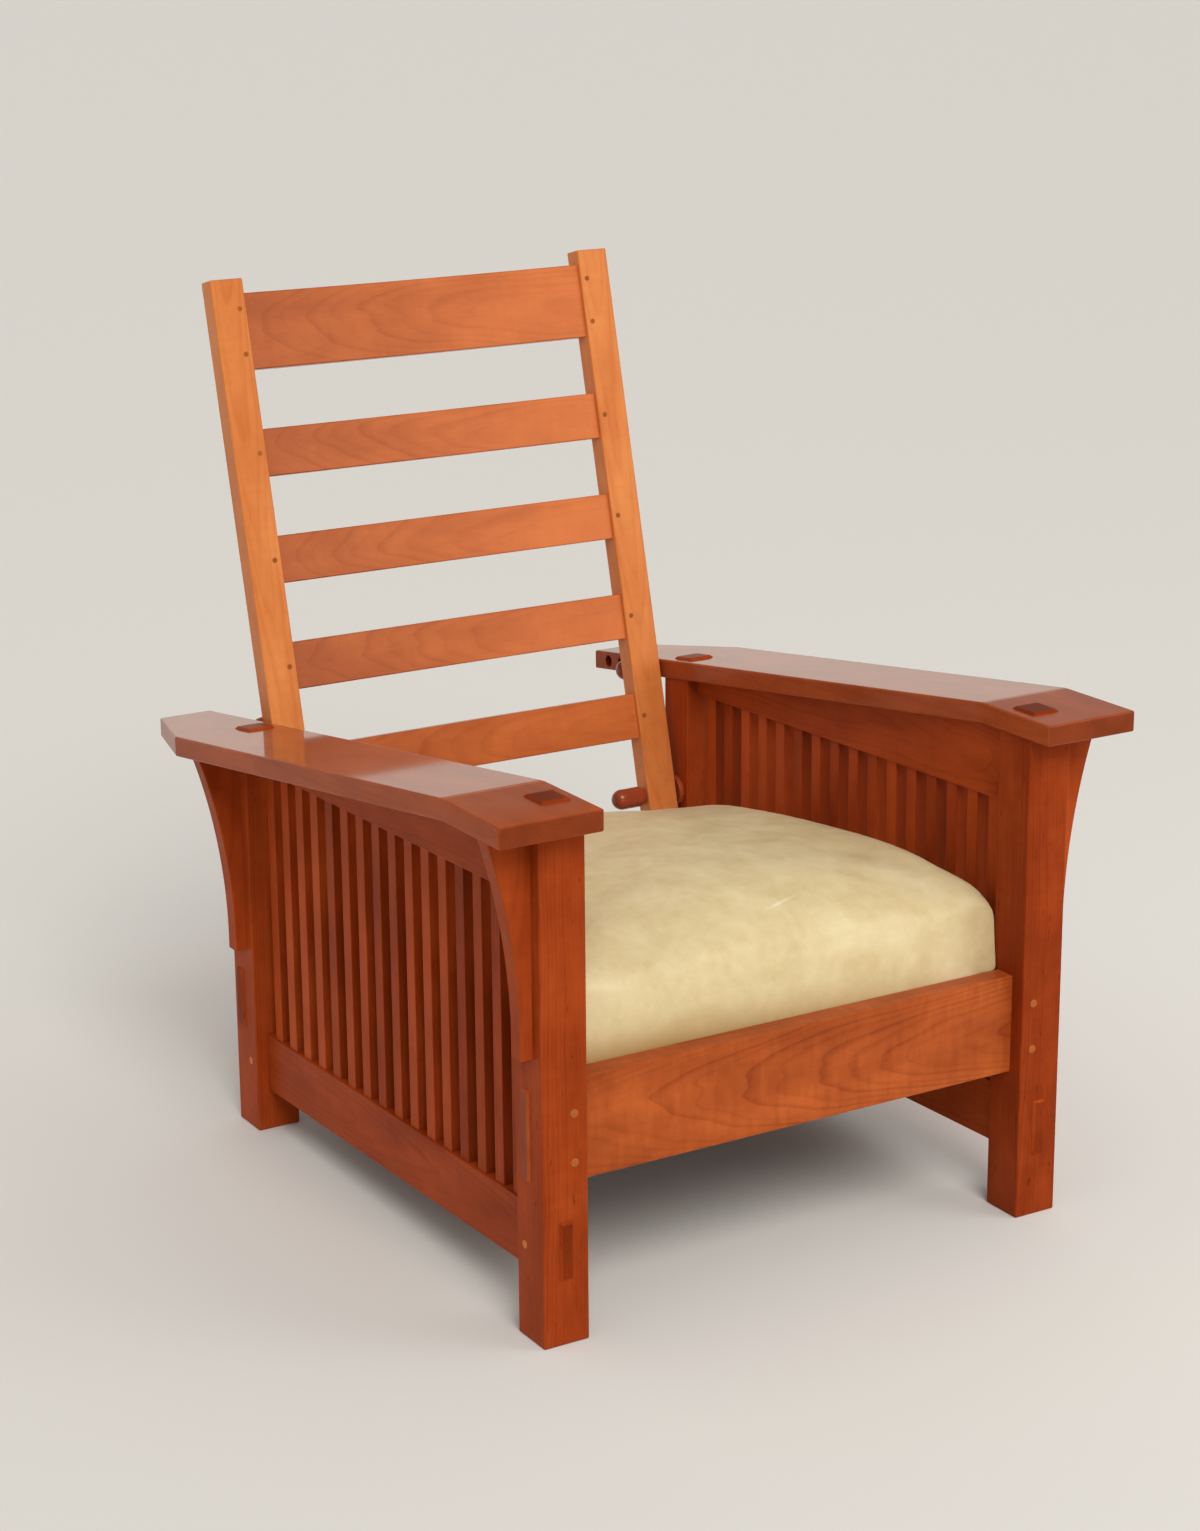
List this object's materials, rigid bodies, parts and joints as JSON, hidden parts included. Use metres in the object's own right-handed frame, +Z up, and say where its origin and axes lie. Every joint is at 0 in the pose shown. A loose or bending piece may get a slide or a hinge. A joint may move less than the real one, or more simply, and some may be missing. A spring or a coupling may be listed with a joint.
{
  "type": "mission reclining armchair",
  "caption": "Wooden mission armchair with spindle sides, sloping arms on corbels, a ladder back that hangs on removable pegs, and a deep leather drop-in seat.",
  "frame": {"origin": "on the floor, midway across the arms and midway along their length", "axes": "+Z up; -Y is the front of the chair; +X is to the right of someone who stands in front and looks at it"},
  "size_m": [0.838, 0.992, 1.0576],
  "materials": {
    "frame_wood": "satin lacquer",
    "back_wood": "satin lacquer",
    "peg_wood": "polished",
    "pin_wood": "satin lacquer",
    "seat_wood": "sanded",
    "seat_leather": "soft",
    "webbing": "woven",
    "dust_cloth": "woven",
    "screw_steel": "zinc plated"
  },
  "bodies": {
    "chair_frame": {"arm_left": "frame_wood", "arm_right": "frame_wood", "cleat_screws": "screw_steel", "corbel_plugs": "pin_wood", "corbel_screws": "screw_steel", "dust_cover": "dust_cloth", "frame_pins": "pin_wood", "front_cleat": "seat_wood", "front_corbel_left": "frame_wood", "front_corbel_right": "frame_wood", "front_leg_left": "frame_wood", "front_leg_right": "frame_wood", "front_rail": "frame_wood", "hinge_washer_left": "peg_wood", "hinge_washer_right": "peg_wood", "lower_side_rail_left": "frame_wood", "lower_side_rail_right": "frame_wood", "rear_cleat": "seat_wood", "rear_corbel_left": "frame_wood", "rear_corbel_right": "frame_wood", "rear_leg_left": "frame_wood", "rear_leg_right": "frame_wood", "rear_rail": "frame_wood", "seat_cushion": "seat_leather", "seat_dowels": "seat_wood", "seat_frame_front": "seat_wood", "seat_frame_left": "seat_wood", "seat_frame_rear": "seat_wood", "seat_frame_right": "seat_wood", "seat_screws": "screw_steel", "seat_webbing_cross": "webbing", "seat_webbing_long": "webbing", "side_spindles_left": "frame_wood", "side_spindles_right": "frame_wood", "upper_side_rail_left": "frame_wood", "upper_side_rail_right": "frame_wood"},
    "back_frame": {"back_post_left": "back_wood", "back_post_right": "back_wood", "back_slat_1": "back_wood", "back_slat_2": "back_wood", "back_slat_3": "back_wood", "back_slat_4": "back_wood", "back_slat_5": "back_wood", "back_pins": "pin_wood"},
    "hinge_peg_left": {"hinge_peg_left": "peg_wood"},
    "hinge_peg_right": {"hinge_peg_right": "peg_wood"},
    "support_peg_left": {"support_peg_left": "peg_wood"},
    "support_peg_right": {"support_peg_right": "peg_wood"}
  },
  "joints": [
    {"name": "back_recline", "type": "hinge", "parent": "chair_frame", "child": "back_frame", "pos_m": [0, 0.2905, 0.3434], "axis": [1, 0, 0], "range_deg": [0, 86]},
    {"name": "hinge_peg_left_pull", "type": "slide", "parent": "chair_frame", "child": "hinge_peg_left", "axis": [1, 0, 0], "range_m": [0, 0.0823]},
    {"name": "hinge_peg_right_pull", "type": "slide", "parent": "chair_frame", "child": "hinge_peg_right", "axis": [-1, 0, 0], "range_m": [0, 0.0823]},
    {"name": "support_peg_left_pull", "type": "slide", "parent": "chair_frame", "child": "support_peg_left", "axis": [1, 0, 0], "range_m": [0, 0.04]},
    {"name": "support_peg_right_pull", "type": "slide", "parent": "chair_frame", "child": "support_peg_right", "axis": [-1, 0, 0], "range_m": [0, 0.04]}
  ]
}
